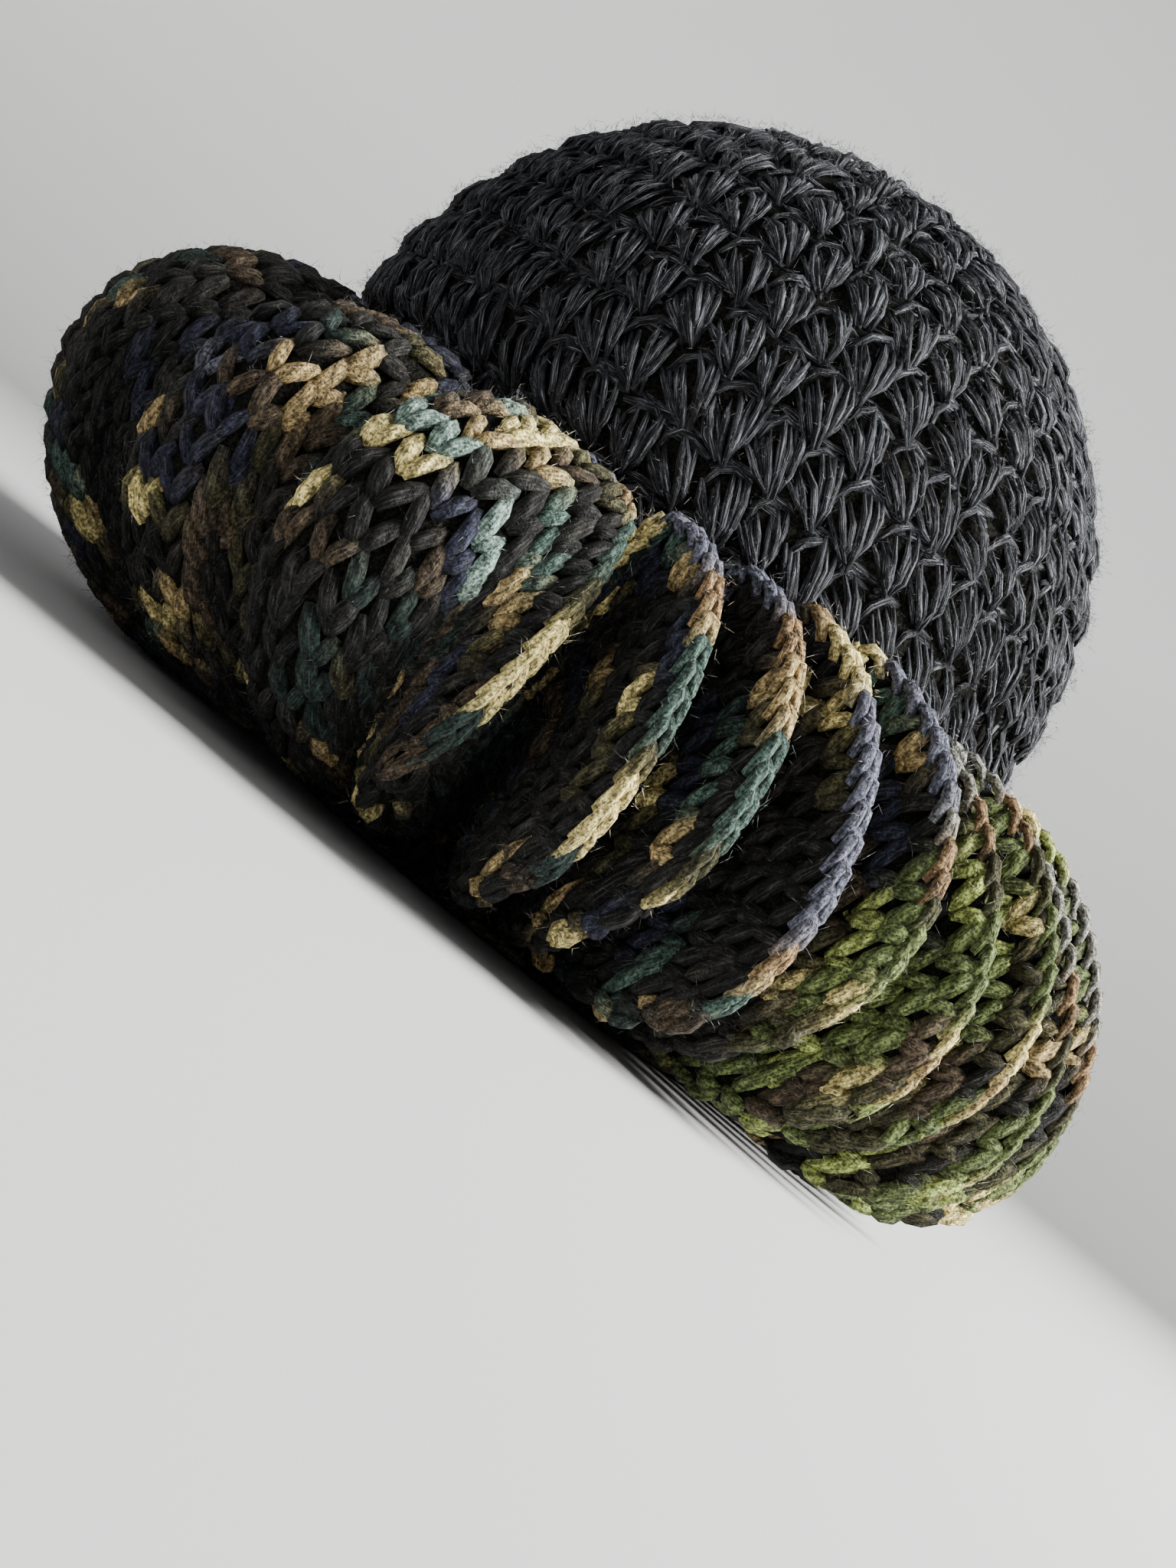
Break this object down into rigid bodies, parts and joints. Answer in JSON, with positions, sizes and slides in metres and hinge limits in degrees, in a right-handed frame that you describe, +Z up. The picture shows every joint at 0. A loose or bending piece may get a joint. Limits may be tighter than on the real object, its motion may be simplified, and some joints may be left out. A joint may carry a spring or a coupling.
{
  "type": "crochet ruffle hat",
  "caption": "Balloon-crowned crochet hat with a plain rim band and a deep frill of folds that stands round the crown.",
  "frame": {"origin": "in the plane that the rim band rests on, under the middle of the hat's outline", "axes": "+Z up along the hat's axis, -X towards the front of the hat, -Y towards its left side as worn"},
  "size_m": [0.4246, 0.4118, 0.283],
  "materials": {
    "black_yarn": "thick puff-stitch crochet in soft black yarn",
    "camouflage_yarn": "thick crochet in space-dyed yarn of black, navy, dark green, olive, brown and tan"
  },
  "bodies": {
    "root": {"crown": "black_yarn", "rim_band": "camouflage_yarn", "ruffle": "camouflage_yarn"}
  },
  "joints": []
}
